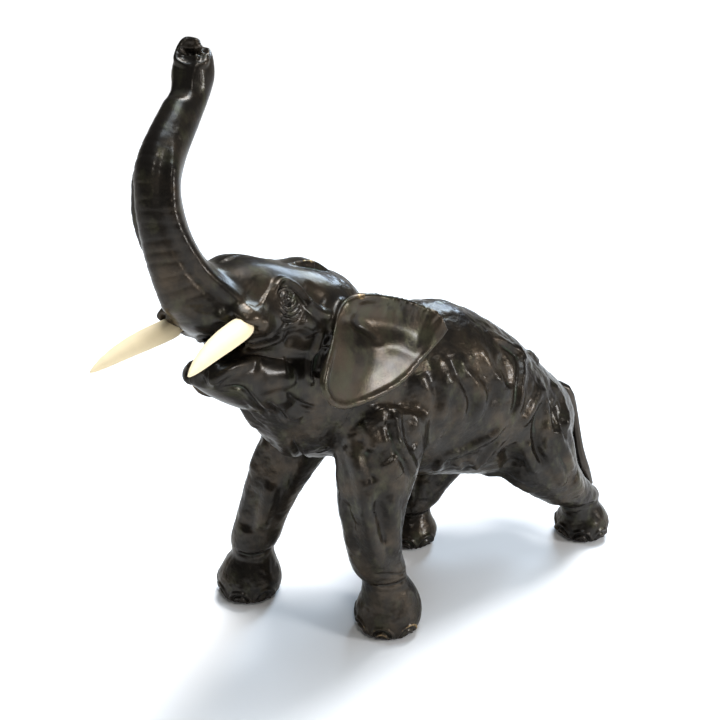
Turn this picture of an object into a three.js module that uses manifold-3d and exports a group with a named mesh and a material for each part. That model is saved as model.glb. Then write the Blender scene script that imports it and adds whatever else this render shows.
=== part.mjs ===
// Standing elephant, head thrown back and trunk raised: a hollow-cast bronze figure.
// Millimetres, +Z up. The elephant faces -Y, and its left side is +X.
// Every hollow casting is an outer form less the same form shrunk by the wall. Castings meet at
// flat seams, where a spigot on one slides into the other; the legs are closed by sole plates.

import * as THREE from 'three';
import { mergeVertices } from 'three/addons/utils/BufferGeometryUtils.js';
import Module from 'manifold-3d';

const wasm = await Module();
wasm.setup();

// ---- driving dimensions ----
const wall = 3.6;               // bronze left around the core
const seamGap = 0.3;            // open gap at every seam and fit
const spigotLap = 6;            // how far a spigot stands out of its seam
const collarLap = 5;            // how far its root runs inside its own casting
const soleThickness = 3.2;      // sole plate below the foot
const soleBoss = 3;             // register of the sole plate inside the foot

const bodyLength = 196;         // chest to rump
const bodyHalfWidth = 50;       // half the barrel's width
const shoulderHeight = 200;     // floor to the top of the withers
const chestFront = -62;         // Y of the chest
const legSpread = 38;           // middle of the barrel to the middle of a foreleg
const footRadius = 20.4;        // fore feet
const hindFootRadius = 18.4;
const foreLegRadius = 17.5;     // at the forearm
const hindLegRadius = 15;       // above the hock

const headYaw = 20;             // degrees, head turned to its left
const headRoll = 12;            // degrees, left side of the head lifted
const headHalfWidth = 40;       // across the temples
const cavityFront = -52;        // where the skull's cavity ends, before the mouth
const trunkRootRadius = 17;
const trunkTipRadius = 11;
const trunkRise = 102;          // root of the trunk to the rim of the tip
const nostrilDepth = 9;
const nostrilRadius = 3.6;

const tuskLength = 53;          // clear of the socket
const tuskRadius = 6.0;         // at the socket
const tuskTenonRadius = 4.2;
const tuskTenonLength = 14;
const tuskSpacing = 50;         // between the two sockets
const tuskSplay = 11;           // degrees outward
const tuskDroop = 10;           // degrees below level

const earThickness = 4.6;
const earDish = 4;              // how far the middle of the ear is sunk below its rim
const rightEarFold = 20;        // degrees, how much closer the right ear lies to the neck
const earTangWidth = 20;
const earTangThickness = 3.2;
const earTangLength = 14;
const earTangSlope = 44;        // degrees, slant of the ear's root

const tailRadius = 4.4;
const tailTenonRadius = 3;
const tailTenonLength = 7;

const V = (x, y, z) => new THREE.Vector3(x, y, z);
const rad = THREE.MathUtils.degToRad;
const UP = V(0, 0, 1);
const BACK = V(0, 1, 0);

// ---- solids ----
function solid(geometry) {
  const bare = geometry.clone();
  for (const name of ['normal', 'uv']) bare.deleteAttribute(name);
  const merged = mergeVertices(bare, 1e-4);
  return new wasm.Manifold(new wasm.Mesh({
    numProp: 3,
    vertProperties: new Float32Array(merged.attributes.position.array),
    triVerts: new Uint32Array(merged.index.array),
  }));
}

// A closed form through stations { at, wide, up, down }: 'wide' is the half width along X, and
// 'up' and 'down' the reach above and below the run, or before and behind it on a leg. 'grow' moves the whole skin out or in, and the
// two ends with it, except that an open last end runs past instead.
function loft(stations, { around = 24, along = 14, grow = 0, openEnd = false } = {}) {
  const spine = new THREE.CatmullRomCurve3(stations.map((s) => s.at), false, 'centripetal');
  const size = new THREE.CatmullRomCurve3(stations.map((s) => V(s.wide, s.up, s.down ?? s.up)));
  const geometry = new THREE.CylinderGeometry(1, 1, 1, around, along);
  const position = geometry.attributes.position;
  const side = V(1, 0, 0);
  for (let i = 0; i < position.count; i += 1) {
    const t = THREE.MathUtils.clamp(0.5 - position.getY(i), 0, 1);
    const centre = spine.getPoint(t);
    const tangent = spine.getTangent(t);
    const across = side.clone().addScaledVector(tangent, -side.dot(tangent)).normalize();
    const rise = new THREE.Vector3().crossVectors(tangent, across).normalize();
    const r = size.getPoint(t);
    const c = position.getX(i);
    const s = position.getZ(i);
    const half = s > 0 ? r.y : r.z;
    if (t === 0) centre.addScaledVector(tangent, -grow);
    if (t === 1) centre.addScaledVector(tangent, openEnd && grow < 0 ? wall : grow);
    centre.addScaledVector(across, c * Math.max(r.x + grow, 0.6));
    centre.addScaledVector(rise, s * Math.max(half + grow, 0.6));
    position.setXYZ(i, centre.x, centre.y, centre.z);
  }
  const made = solid(geometry);
  return made.volume() < 0 ? solid(flip(geometry)) : made;
}

function flip(geometry) {
  const index = geometry.index.array;
  for (let i = 0; i < index.length; i += 3) [index[i], index[i + 1]] = [index[i + 1], index[i]];
  return geometry;
}

const farSize = 600;

// Everything on the side of a plane that 'normal' points to.
function beyond(point, normal) {
  const block = new THREE.BoxGeometry(farSize, farSize, farSize);
  block.translate(0, 0, farSize / 2);
  const turn = new THREE.Quaternion().setFromUnitVectors(V(0, 0, 1), normal.clone().normalize());
  block.applyQuaternion(turn);
  block.translate(point.x, point.y, point.z);
  return solid(block);
}

function rod(from, to, radius, sides = 20) {
  const run = to.clone().sub(from);
  const bar = new THREE.CylinderGeometry(radius, radius, run.length(), sides);
  bar.applyQuaternion(new THREE.Quaternion().setFromUnitVectors(V(0, 1, 0), run.clone().normalize()));
  const middle = from.clone().addScaledVector(run, 0.5);
  bar.translate(middle.x, middle.y, middle.z);
  return solid(bar);
}

const union = (solids) => solids.reduce((all, one) => all.add(one));
const shift = (point, normal, distance) => point.clone().addScaledVector(normal, distance);

// The seam of a form at station fraction t: a point on its spine and the direction of its run.
function seamAt(stations, t) {
  const spine = new THREE.CatmullRomCurve3(stations.map((s) => s.at), false, 'centripetal');
  return { point: spine.getPoint(t), run: spine.getTangent(t).normalize() };
}

// The hollow spigot of the casting on the 'run' side of a seam. It stands back through the seam
// by spigotLap, and its root is a collar inside that casting's wall.
function spigot(form, seam) {
  const bore = form(-2 * wall - seamGap);
  const sleeve = form(-wall - seamGap).subtract(bore)
    .intersect(beyond(shift(seam.point, seam.run, -spigotLap), seam.run))
    .subtract(beyond(shift(seam.point, seam.run, collarLap), seam.run));
  const collar = form(-wall + 0.6).subtract(bore)
    .intersect(beyond(shift(seam.point, seam.run, seamGap), seam.run))
    .subtract(beyond(shift(seam.point, seam.run, collarLap), seam.run));
  return sleeve.add(collar);
}

// ---- the head's own frame: origin at the neck pivot, facing -Y, before it is turned ----
const neckPivot = V(0, chestFront - 8, shoulderHeight - 15);
const headTurn = new THREE.Matrix4()
  .makeTranslation(neckPivot.x, neckPivot.y, neckPivot.z)
  .multiply(new THREE.Matrix4().makeRotationZ(rad(headYaw)))
  .multiply(new THREE.Matrix4().makeRotationY(rad(-headRoll)));
const turned = (made) => made.transform(headTurn.toArray());
const turnedPoint = (point) => point.clone().applyMatrix4(headTurn);
const turnedRun = (run) => run.clone().transformDirection(headTurn);

// ---- forms: the outer skin of each mass, at any offset ----
const bodyY = (share) => chestFront + share * bodyLength;
const bodyStation = (share, wide, middle, up, down) => ({
  at: V(0, bodyY(share), middle * shoulderHeight), wide: wide * bodyHalfWidth, up, down,
});
const bodyStations = [
  bodyStation(0.98, 0.34, 0.365, 18, 18),
  bodyStation(0.92, 0.62, 0.40, 31, 32),
  bodyStation(0.83, 0.80, 0.455, 37, 42),
  bodyStation(0.73, 0.92, 0.515, 40, 48),
  bodyStation(0.62, 0.98, 0.58, 46, 54),
  bodyStation(0.48, 1.0, 0.65, 54, 58),
  bodyStation(0.34, 0.98, 0.69, 60, 58),
  bodyStation(0.20, 0.90, 0.725, 55, 54),
  bodyStation(0.08, 0.74, 0.74, 42, 44),
  bodyStation(0.0, 0.40, 0.74, 20, 26),
];
const bodyForm = (grow) => loft(bodyStations, { around: 20, along: 12, grow });
const bodyCore = () => loft(bodyStations, { around: 12, along: 6, grow: -wall - 1.5 });

// Legs run down from inside the barrel. Heights are shares of the shoulder's, down to the foot.
const legStation = (x, y, share, wide, up, down = up) => ({
  at: V(x, y, share * shoulderHeight), wide, up, down,
});
const footStation = (x, y, z, wide, up) => ({ at: V(x, y, z), wide, up, down: up });
const foot = (x, y, radius) => [
  footStation(x, y + 1, 24, radius * 0.85, radius * 0.86),
  footStation(x, y, 11, radius * 0.98, radius),
  footStation(x, y, 5, radius, radius * 1.02),
  footStation(x, y, 0, radius * 0.94, radius * 0.96),
];
const rump = chestFront + bodyLength;
const legs = {
  fore_left: {
    seam: 0.3,
    stations: [
      legStation(legSpread - 8, chestFront + 18, 0.75, 20, 28),
      legStation(legSpread - 5, chestFront + 10, 0.65, 23, 30),
      legStation(legSpread - 2, chestFront + 2, 0.53, foreLegRadius * 1.24, foreLegRadius * 1.42),
      legStation(legSpread, chestFront - 1, 0.40, foreLegRadius * 1.06, foreLegRadius * 1.12),
      legStation(legSpread + 1, chestFront + 2, 0.26, foreLegRadius * 0.93, foreLegRadius * 0.95),
      ...foot(legSpread + 1, chestFront + 12, footRadius),
    ],
  },
  fore_right: {
    seam: 0.32,
    stations: [
      legStation(8 - legSpread, chestFront + 18, 0.76, 20, 26),
      legStation(4 - legSpread, chestFront + 4, 0.64, 24, 29),
      legStation(-legSpread, chestFront - 10, 0.51, foreLegRadius * 1.16, foreLegRadius * 1.3),
      legStation(-legSpread - 3, chestFront - 24, 0.39, foreLegRadius * 1.02, foreLegRadius * 1.08),
      legStation(-legSpread - 5, chestFront - 35, 0.25, foreLegRadius * 0.92, foreLegRadius * 0.96),
      ...foot(-legSpread - 6, chestFront - 43, footRadius),
    ],
  },
  hind_left: {
    seam: 0.36,
    stations: [
      legStation(legSpread - 14, rump - 62, 0.58, 22, 26),
      legStation(legSpread - 8, rump - 54, 0.47, 25, 34, 29),
      legStation(legSpread - 4, rump - 43, 0.35, 22, 27, 22),
      legStation(legSpread - 2, rump - 25, 0.24, hindLegRadius * 1.06, hindLegRadius * 1.08),
      legStation(legSpread - 2, rump - 10, 0.165, hindLegRadius, hindLegRadius * 1.02),
      ...foot(legSpread - 2, rump - 1, hindFootRadius),
    ],
  },
  hind_right: {
    seam: 0.34,
    stations: [
      legStation(14 - legSpread, rump - 62, 0.56, 22, 26),
      legStation(10 - legSpread, rump - 70, 0.44, 24, 30),
      legStation(8 - legSpread, rump - 82, 0.33, 20, 24),
      legStation(7 - legSpread, rump - 95, 0.24, hindLegRadius * 1.06, hindLegRadius * 1.14),
      legStation(7 - legSpread, rump - 105, 0.17, hindLegRadius, hindLegRadius * 1.02),
      ...foot(7 - legSpread, rump - 112, hindFootRadius),
    ],
  },
};
for (const leg of Object.values(legs)) {
  leg.form = (grow) => loft(leg.stations, { around: 14, along: 10, grow, openEnd: true });
  leg.seamPlane = seamAt(leg.stations, leg.seam);
}

// Neck, from inside the barrel to inside the head.
const neckStation = (x, y, z, wide, up, down) => ({
  at: V(x, y, z).add(neckPivot), wide, up, down,
});
const neckStations = [
  neckStation(0, 44, -27, 34, 36, 46),
  neckStation(0, 22, -23, 38, 38, 50),
  neckStation(3, -2, -13, 38, 33, 57),
  neckStation(9, -24, 0, 33, 28, 50),
  neckStation(15, -42, 11, 25, 22, 38),
];
const neckForm = (grow) => loft(neckStations, { around: 16, along: 7, grow });
const neckSeam = seamAt(neckStations, 0.56);

// Skull, from the nape to the root of the trunk.
const headStation = (y, z, wide, up, down) => ({ at: V(0, y, z), wide, up, down });
const headStations = [
  headStation(13, 21, headHalfWidth * 0.4, 12, 14),
  headStation(3, 22, headHalfWidth * 0.8, 23, 26),
  headStation(-16, 24, headHalfWidth, 27, 32),
  headStation(-38, 27, headHalfWidth * 0.96, 31, 30),
  headStation(-60, 34, headHalfWidth * 0.86, 33, 24),
  headStation(-79, 44, headHalfWidth * 0.7, 29, 18),
  headStation(-91, 55, trunkRootRadius * 1.22, 19, 18),
  headStation(-97, 67, trunkRootRadius * 0.9, 12, 12),
];
const headCore = () => turned(loft(headStations, { around: 10, along: 6, grow: -wall - 1.5 }));
const headForm = (grow) => turned(loft(headStations, { around: 18, along: 12, grow }));
const jawStations = [
  headStation(-18, 1, 30, 20, 28),
  headStation(-42, 0, 28, 18, 25),
  headStation(-64, 4, 23, 14, 21),
  headStation(-83, 11, 19, 10, 16),
  headStation(-100, 19, 12, 7, 9),
];
const jawForm = (grow) => turned(loft(jawStations, { around: 14, along: 7, grow }));

const trunkRootHeight = 53;
const trunkStation = (y, share, wide, deep) => (
  headStation(y, trunkRootHeight + share * trunkRise, wide, deep, deep)
);
const trunkStations = [
  trunkStation(-93, 0, trunkRootRadius, 17.5),
  trunkStation(-100, 0.17, trunkRootRadius * 0.9, 14.6),
  trunkStation(-103, 0.36, trunkRootRadius * 0.80, 12.6),
  trunkStation(-101, 0.54, trunkRootRadius * 0.75, 12),
  trunkStation(-92, 0.68, trunkRootRadius * 0.70, 11.4),
  trunkStation(-80, 0.80, trunkTipRadius * 1.02, 10.6),
  trunkStation(-69, 0.91, trunkTipRadius * 0.92, 10.4),
  trunkStation(-60, 1.04, trunkTipRadius, 11.6),
  trunkStation(-55, 1.17, trunkTipRadius * 0.7, 8),
];
const trunkForm = (grow) => turned(loft(trunkStations, { around: 14, along: 16, grow }));
const straightSeam = seamAt(trunkStations, 0.13);
const trunkSeam = { point: turnedPoint(straightSeam.point), run: turnedRun(straightSeam.run) };

const tuskDirection = (side) => V(
  side * Math.sin(rad(tuskSplay)), -Math.cos(rad(tuskSplay)), -Math.sin(rad(tuskDroop)),
).normalize();
const tuskMouth = (side) => V(side * tuskSpacing / 2, -86, 36.5);

// Each tusk leaves the skull through a sheath around its socket.
function sheathForm(side, grow) {
  const station = (inside, share) => ({
    at: shift(tuskMouth(side), tuskDirection(side), -inside),
    wide: share * tuskRadius,
    up: share * tuskRadius,
  });
  return turned(loft(
    [station(36, 1.3), station(22, 1.7), station(8, 1.6), station(0, 1.35)],
    { around: 12, along: 4, grow },
  ));
}

function tuskShaft(side, grow) {
  const station = (share, thick, lift) => ({
    at: shift(tuskMouth(side), tuskDirection(side), share * tuskLength + 2 * seamGap)
      .addScaledVector(UP, lift),
    wide: thick * tuskRadius,
    up: thick * tuskRadius,
  });
  return turned(loft([
    station(0, 0.92, 0),
    station(0.12, 1, 0.3),
    station(0.35, 0.97, 1.2),
    station(0.6, 0.82, 1.6),
    station(0.82, 0.55, 1),
    station(0.95, 0.27, 0.2),
    station(1, 0.1, 0),
  ], { around: 12, along: 9, grow }));
}

function tuskTenon(side, grow) {
  const inner = shift(tuskMouth(side), tuskDirection(side), -tuskTenonLength - grow);
  const outer = shift(tuskMouth(side), tuskDirection(side), 3);
  return turned(rod(inner, outer, tuskTenonRadius + grow));
}

// The tail drops from the rump, and its tuft lies against the left hind leg.
const tailStation = (at, thick) => ({ at, wide: thick * tailRadius, up: thick * tailRadius });
const belowRump = (x, y, share) => V(x, rump + y, share * shoulderHeight);
const besideLeg = (station, x, y, z) => V(x, y, z).add(legs.hind_left.stations[station].at);
const tailStations = [
  tailStation(belowRump(2, -10, 0.56), 0.9),
  tailStation(belowRump(8, 0, 0.535), 1),
  tailStation(belowRump(13, 5, 0.475), 0.9),
  tailStation(belowRump(18, 6, 0.395), 0.85),
  tailStation(belowRump(23, 6, 0.315), 0.95),
  tailStation(besideLeg(3, -8, 33, 0), 1.1),
  tailStation(besideLeg(4, -4, 23, 2), 0.5),
];
const tailForm = (grow) => loft(tailStations, { around: 10, along: 12, grow });

function tailTenon(grow) {
  const root = tailStations[0].at;
  const run = V(0.35, 0.85, -0.35).normalize();
  return rod(shift(root, run, -tailTenonLength - grow), shift(root, run, 3), tailTenonRadius + grow, 14);
}

// A flat tang at the root of each ear, in a slot through the side of the skull.
function earTang(side, grow) {
  const tang = new THREE.BoxGeometry(
    earTangLength, earTangWidth + 2 * grow, earTangThickness + 2 * grow,
  );
  tang.rotateX(rad(earTangSlope));
  tang.translate(side * (headHalfWidth - 5), -32, 25);
  return turned(solid(tang));
}

// ---- castings ----
function makeTrunk() {
  const tip = seamAt(trunkStations, 1);
  const coreEnd = turnedPoint(shift(tip.point, tip.run, -nostrilDepth - wall));
  const core = trunkForm(-wall).subtract(beyond(coreEnd, turnedRun(tip.run)));
  let trunk = trunkForm(0).subtract(core)
    .intersect(beyond(shift(trunkSeam.point, trunkSeam.run, seamGap), trunkSeam.run))
    .add(spigot(trunkForm, trunkSeam));
  for (const side of [-1, 1]) {
    const rim = tip.point.clone().add(V(side * nostrilRadius * 1.35, 0, 0));
    const pit = rod(shift(rim, tip.run, -nostrilDepth), shift(rim, tip.run, wall), nostrilRadius, 16);
    trunk = trunk.subtract(turned(pit));
  }
  return trunk;
}

const mouthStations = [
  headStation(-122, 28, 20, 9, 9),
  headStation(-97, 27, 19, 6.5, 6.5),
  headStation(-80, 25.5, 16, 5, 5),
  headStation(-66, 23.5, 10, 3, 3),
];
const passageStations = [
  headStation(-34, 33, 16, 14, 14),
  headStation(-58, 43, 14, 11, 11),
  headStation(-78, 51, 12, 8, 8),
  headStation(-93, 59, 11, 8, 8),
];
const skull = union([headForm(0), jawForm(0), neckForm(0), sheathForm(-1, 0), sheathForm(1, 0)]);
const skullCavity = headCore().add(neckForm(-wall))
  .intersect(beyond(turnedPoint(V(0, cavityFront, 0)), turnedRun(BACK)));

function makeHead() {
  const ahead = beyond(shift(neckSeam.point, neckSeam.run, seamGap), neckSeam.run);
  const trunkStump = trunkForm(0).subtract(beyond(trunkSeam.point, trunkSeam.run));
  let head = skull.intersect(ahead).add(trunkStump)
    .subtract(skullCavity)
    .subtract(trunkForm(-wall))
    .subtract(turned(loft(passageStations, { around: 10, along: 4 })))
    .subtract(turned(loft(mouthStations, { around: 12, along: 4 })));
  for (const side of [-1, 1]) {
    head = head.subtract(tuskTenon(side, seamGap))
      .subtract(tuskShaft(side, seamGap))
      .subtract(earTang(side, seamGap));
  }
  return head.add(spigot(neckForm, neckSeam));
}

function makeTorso() {
  const behind = beyond(neckSeam.point, neckSeam.run.clone().negate());
  let torso = bodyForm(0).add(skull.intersect(behind));
  for (const { form, seamPlane } of Object.values(legs)) {
    torso = torso.add(form(0).subtract(beyond(seamPlane.point, seamPlane.run)));
  }
  for (const { form, seamPlane } of Object.values(legs)) {
    torso = torso.subtract(form(seamGap).intersect(beyond(seamPlane.point, seamPlane.run)))
      .subtract(form(-wall));
  }
  return torso.subtract(bodyCore()).subtract(neckForm(-wall)).subtract(skullCavity)
    .subtract(tailTenon(seamGap))
    .subtract(tailForm(seamGap));
}

function makeLeg(leg) {
  const { point, run } = leg.seamPlane;
  const soleTop = beyond(V(0, 0, soleThickness + seamGap), UP);
  return leg.form(0).intersect(beyond(shift(point, run, seamGap), run)).intersect(soleTop)
    .subtract(leg.form(-wall))
    .add(spigot(leg.form, leg.seamPlane)).subtract(tailForm(seamGap));
}

function makeSole(leg) {
  const plate = leg.form(0).subtract(beyond(V(0, 0, soleThickness), UP));
  const base = leg.stations.at(-1);
  const bossRadius = base.wide - wall - 2 * seamGap;
  const middle = base.at.clone().setZ(soleThickness / 2);
  return plate.add(rod(middle, middle.clone().setZ(soleThickness + soleBoss), bossRadius, 14));
}

// The rim of the left ear, in the head's own frame: X is counted from the side of the skull.
const earRim = [
  [2, -25, 37],
  [10, -7, 28],
  [22, 12, 17],
  [31, 25, 2],
  [23, 8, -9],
  [17, -13, -19],
  [8, -42, -21],
  [6, -60, -15],
  [5, -65, -1],
  [4, -51, 14],
];

function earPlate(side) {
  const rim = new THREE.CatmullRomCurve3(
    earRim.map(([x, y, z]) => V(side * (headHalfWidth + x), y, z)), true,
  );
  const centre = V(side * (headHalfWidth + 12), -20, 5);
  const outward = V(side * 0.86, -0.42, 0.28).normalize();
  const plate = new THREE.SphereGeometry(1, 30, 8);
  const { position, uv } = plate.attributes;
  for (let i = 0; i < position.count; i += 1) {
    const height = position.getY(i);
    const reach = Math.sqrt(Math.max(0, 1 - height * height)) ** 0.7;
    const point = centre.clone().lerp(rim.getPoint(uv.getX(i) % 1), reach);
    const rise = Math.sign(height) * Math.abs(height) ** 0.6 * earThickness / 2;
    point.addScaledVector(outward, rise - earDish * (1 - reach * reach));
    position.setXYZ(i, point.x, point.y, point.z);
  }
  if (side < 0) {
    plate.translate(headHalfWidth - 5, 32, 0);
    plate.rotateZ(rad(-rightEarFold));
    plate.translate(5 - headHalfWidth, -32, 0);
  }
  const made = solid(plate);
  return turned(made.volume() < 0 ? solid(flip(plate)) : made);
}

function makeEar(side) {
  const plate = earPlate(side)
    .subtract(headForm(seamGap))
    .subtract(neckForm(seamGap))
    .subtract(jawForm(seamGap))
    .subtract(bodyForm(seamGap));
  const [largest] = plate.decompose().sort((a, b) => b.volume() - a.volume());
  return largest.add(earTang(side, 0));
}

const makeTusk = (side) => tuskShaft(side, 0).add(tuskTenon(side, 0));
const makeTail = () => tailForm(0).add(tailTenon(0));

// ---- the assembly ----
const bronze = { color: 0x2b2420, roughness: 0.35, metalness: 0.8 };
const ivory = { color: 0xe8c88a, roughness: 0.4, metalness: 0 };
const figure = new THREE.Group();

function place(name, made, finish) {
  const mesh = made.getMesh();
  const geometry = new THREE.BufferGeometry();
  geometry.setAttribute('position', new THREE.BufferAttribute(mesh.vertProperties, 3));
  geometry.setIndex(new THREE.BufferAttribute(mesh.triVerts, 1));
  const piece = new THREE.Mesh(geometry, new THREE.MeshStandardMaterial(finish));
  piece.name = name;
  figure.add(piece);
}

place('torso_casting', makeTorso(), bronze);
place('head_casting', makeHead(), bronze);
place('trunk_casting', makeTrunk(), bronze);
for (const [name, leg] of Object.entries(legs)) {
  place(`${name}_leg`, makeLeg(leg), bronze);
  place(`${name}_sole`, makeSole(leg), bronze);
}
place('left_ear', makeEar(1), bronze);
place('right_ear', makeEar(-1), bronze);
place('left_tusk', makeTusk(1), ivory);
place('right_tusk', makeTusk(-1), ivory);
place('tail', makeTail(), bronze);

// The origin is the middle of the footprint, on the floor.
const extent = new THREE.Box3().setFromObject(figure);
const middle = extent.getCenter(new THREE.Vector3());
figure.position.set(-middle.x, -middle.y, -extent.min.z);

export default figure;
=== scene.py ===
"""Bronze elephant figurine: sculpted skin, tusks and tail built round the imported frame."""

import math
from typing import NamedTuple

import bmesh
import bpy
import numpy as np
from mathutils import Matrix, Vector, noise
from mathutils.bvhtree import BVHTree


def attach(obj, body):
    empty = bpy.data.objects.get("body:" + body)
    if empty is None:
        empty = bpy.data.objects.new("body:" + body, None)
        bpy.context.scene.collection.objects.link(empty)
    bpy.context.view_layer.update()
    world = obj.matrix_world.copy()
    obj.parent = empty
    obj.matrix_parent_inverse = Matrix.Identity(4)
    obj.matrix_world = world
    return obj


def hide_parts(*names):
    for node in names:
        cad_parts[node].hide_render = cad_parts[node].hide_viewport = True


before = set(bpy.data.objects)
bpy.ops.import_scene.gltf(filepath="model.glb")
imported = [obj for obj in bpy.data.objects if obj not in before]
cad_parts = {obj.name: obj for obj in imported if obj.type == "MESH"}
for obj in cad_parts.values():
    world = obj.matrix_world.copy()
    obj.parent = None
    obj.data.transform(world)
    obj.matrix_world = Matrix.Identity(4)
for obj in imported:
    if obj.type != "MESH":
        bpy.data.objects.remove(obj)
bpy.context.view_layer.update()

bl_info = {
    "name": "Bronze elephant figurine",
    "version": (1, 0, 0),
    "blender": (4, 5, 0),
    "location": "View3D > Sidebar > Elephant",
    "description": "Builds the chased skin, tusks, tail and studio round the packed elephant",
    "category": "Object",
}

MM = 0.001

# ---- the figure's own axes ----
CASTINGS = (
    "torso_casting", "head_casting", "trunk_casting",
    "fore_left_leg", "fore_right_leg", "hind_left_leg", "hind_right_leg",
    "fore_left_sole", "fore_right_sole", "hind_left_sole", "hind_right_sole",
    "left_ear", "right_ear",
)
MIDDLE_X = -5.37
NECK_PIVOT = Vector((MIDDLE_X, -39.14, 185)) * MM
HEAD_TURN = math.radians(20)
HEAD_TILT = math.radians(-12)
HEAD_AXES = (
    Matrix.Translation(NECK_PIVOT)
    @ Matrix.Rotation(HEAD_TURN, 4, "Z")
    @ Matrix.Rotation(HEAD_TILT, 4, "Y")
)
BODY_AXES = Matrix.Translation(Vector((MIDDLE_X, 30.86, 0)) * MM)


# ---- mesh helpers ----
def read_points(mesh):
    co = np.empty(len(mesh.vertices) * 3, np.float64)
    mesh.vertices.foreach_get("co", co)
    return co.reshape(-1, 3)


def write_points(mesh, co):
    mesh.vertices.foreach_set("co", co.astype(np.float32).ravel())
    mesh.update()


def read_edges(mesh):
    pairs = np.empty(len(mesh.edges) * 2, np.int64)
    mesh.edges.foreach_get("vertices", pairs)
    return pairs.reshape(-1, 2)


def read_normals(mesh):
    out = np.empty(len(mesh.vertices) * 3, np.float64)
    mesh.vertex_normals.foreach_get("vector", out)
    return out.reshape(-1, 3)


def new_object(name, data):
    """A new object in the scene, with that mesh, lamp or camera."""
    made = bpy.data.objects.new(name, data)
    bpy.context.scene.collection.objects.link(made)
    return made


def remeshed(mesh, voxel):
    """A new mesh: the union of everything in this one, in cubes of that size."""
    holder = new_object("remesh_holder", mesh)
    modifier = holder.modifiers.new("Remesh", "REMESH")
    modifier.mode = "VOXEL"
    modifier.voxel_size = voxel
    modifier.use_smooth_shade = True
    graph = bpy.context.evaluated_depsgraph_get()
    made = bpy.data.meshes.new_from_object(holder.evaluated_get(graph))
    bpy.data.objects.remove(holder)
    return made


def hull_of(points):
    """A closed convex mesh round some points, as a bmesh."""
    work = bmesh.new()
    for point in points:
        work.verts.new(point)
    found = bmesh.ops.convex_hull(work, input=work.verts)
    loose = [e for e in found["geom_interior"] if isinstance(e, bmesh.types.BMVert)]
    bmesh.ops.delete(work, geom=loose, context="VERTS")
    return work


# How far a round draws the points in, and how far it lets them out again.
IN_AND_OUT = (0.5, -0.52)


class Clay:
    """A mesh under the modelling tool: its points, normals and neighbours as arrays."""

    def __init__(self, mesh):
        self.mesh = mesh
        self.refresh()

    def refresh(self):
        self.points = read_points(self.mesh)
        self.edges = read_edges(self.mesh)
        self.count = np.bincount(self.edges.ravel(), minlength=len(self.points))
        self.normals = read_normals(self.mesh)

    def settle(self):
        """Writes the points and works the normals out again."""
        write_points(self.mesh, self.points)
        self.normals = read_normals(self.mesh)

    def average(self, values):
        """The mean of each point's neighbours."""
        a, b = self.edges[:, 0], self.edges[:, 1]
        out = np.empty_like(values)
        for i in range(values.shape[1]):
            total = np.bincount(a, values[b, i], len(values))
            total += np.bincount(b, values[a, i], len(values))
            out[:, i] = total / self.count
        return out

    def smooth(self, rounds):
        """Smooths without shrinking: each round draws the points in and lets them out again."""
        for _ in range(rounds):
            for factor in IN_AND_OUT:
                moved = self.average(self.points) - self.points
                self.points += moved * factor
        self.settle()

    def smooth_plain(self, rounds, keep=None):
        """Draws each point towards its neighbours' mean; keep says how firmly it stays put."""
        loose = 0.5 if keep is None else 0.5 * (1 - keep)[:, None]
        for _ in range(rounds):
            self.points += (self.average(self.points) - self.points) * loose
        self.settle()

    def surface(self):
        """A tree of the present surface, to find the nearest point on it."""
        faces = [tuple(f.vertices) for f in self.mesh.polygons]
        return BVHTree.FromPolygons(self.points.tolist(), faces)


CORE_VOXEL = 2.4 * MM
CORE_INSET = 2.3 * MM


# The tusks' and the tail's tenons fill their bores: node, which way its root lies, how deep.
PLUGS = (
    ("left_tusk", Vector((0, 1, 0)), 13.0),
    ("right_tusk", Vector((0, 1, 0)), 13.0),
    ("tail", Vector((0, -1, 0)), 6.0),
)


def plug_points(name, root, reach):
    """The points of that node within its reach of the root's end."""
    points = [v.co.copy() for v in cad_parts[name].data.vertices]
    far = max(p.dot(root) for p in points)
    return [p for p in points if p.dot(root) > far - reach * MM]


def solid_core(joined):
    """The joined castings without their hollows, drawn in by less than the wall."""
    core = Clay(remeshed(joined, CORE_VOXEL))
    core.points -= core.normals * CORE_INSET
    core.settle()
    return core.mesh


def base_skin(voxel):
    """The outer skin of all the castings, brazed into one."""
    work = bmesh.new()
    for name in CASTINGS:
        work.from_mesh(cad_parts[name].data)
    joined = bpy.data.meshes.new("joined")
    for name, root, reach in PLUGS:
        plug = hull_of(plug_points(name, root, reach))
        plug_mesh = bpy.data.meshes.new("plug")
        plug.to_mesh(plug_mesh)
        plug.free()
        work.from_mesh(plug_mesh)
        bpy.data.meshes.remove(plug_mesh)
    work.to_mesh(joined)
    core = solid_core(joined)
    work.from_mesh(core)
    work.to_mesh(joined)
    work.free()
    return remeshed(joined, voxel)


def refined(mesh, spots):
    """Quarters the facets within each spot: its axes, its middle and its radius in mm."""
    co = read_points(mesh)
    wanted = np.zeros(len(co), bool)
    for axes, middle, radius in spots:
        gap = inside_axes(co, axes) - np.array(middle)
        wanted |= (gap ** 2).sum(1) < radius ** 2
    work = bmesh.new()
    work.from_mesh(mesh)
    work.verts.ensure_lookup_table()
    edges = [e for e in work.edges if wanted[e.verts[0].index] and wanted[e.verts[1].index]]
    bmesh.ops.subdivide_edges(work, edges=edges, cuts=1, use_grid_fill=True)
    work.to_mesh(mesh)
    work.free()


# ---- modelling ----
class Stroke(NamedTuple):
    """One stroke of the modelling tool, in millimetres in the axes it is given with."""

    kind: str
    width: float
    height: float
    both: bool
    points: tuple


def bead(width, height, *points, both=True):
    """A stroke that raises a rounded bead along its points, or presses one in."""
    return Stroke("ridge", width, height, both, points)


def groove(width, height, *points, both=True):
    """A stroke that presses a line with soft lips along its points."""
    return Stroke("crease", width, height, both, points)


def swell(width, height, *points, both=True):
    """A stroke that swells the skin up to its points from one side."""
    return Stroke("fold", width, height, both, points)


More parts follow.
